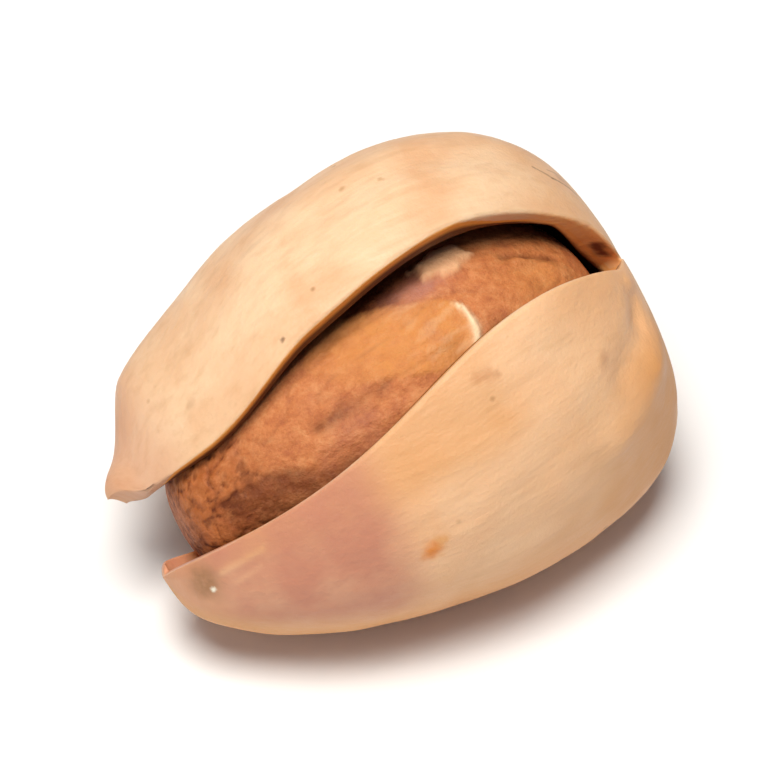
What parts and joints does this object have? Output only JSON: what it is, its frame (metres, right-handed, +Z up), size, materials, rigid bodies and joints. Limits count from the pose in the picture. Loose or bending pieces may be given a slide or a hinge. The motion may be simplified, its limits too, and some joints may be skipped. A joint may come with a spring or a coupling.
{
  "type": "pistachio in shell",
  "caption": "Pistachio nut lying on its side, its pale hard shell split open along one seam with the brown-skinned kernel showing inside",
  "frame": {"origin": "centre of the bounding box, on the surface the nut rests on", "axes": "+Z up; +X along the nut from its tips to its stem end; -Y is the side the split leans towards"},
  "size_m": [0.02, 0.0152, 0.0134],
  "materials": {
    "shell": "dry, smooth, satin cream-tan nut shell with a faint pink blush and fine brown flecks",
    "kernel_skin": "thin papery wrinkled red-brown seed skin, satin"
  },
  "bodies": {
    "root": {"shell": "shell", "kernel": "kernel_skin"}
  },
  "joints": []
}
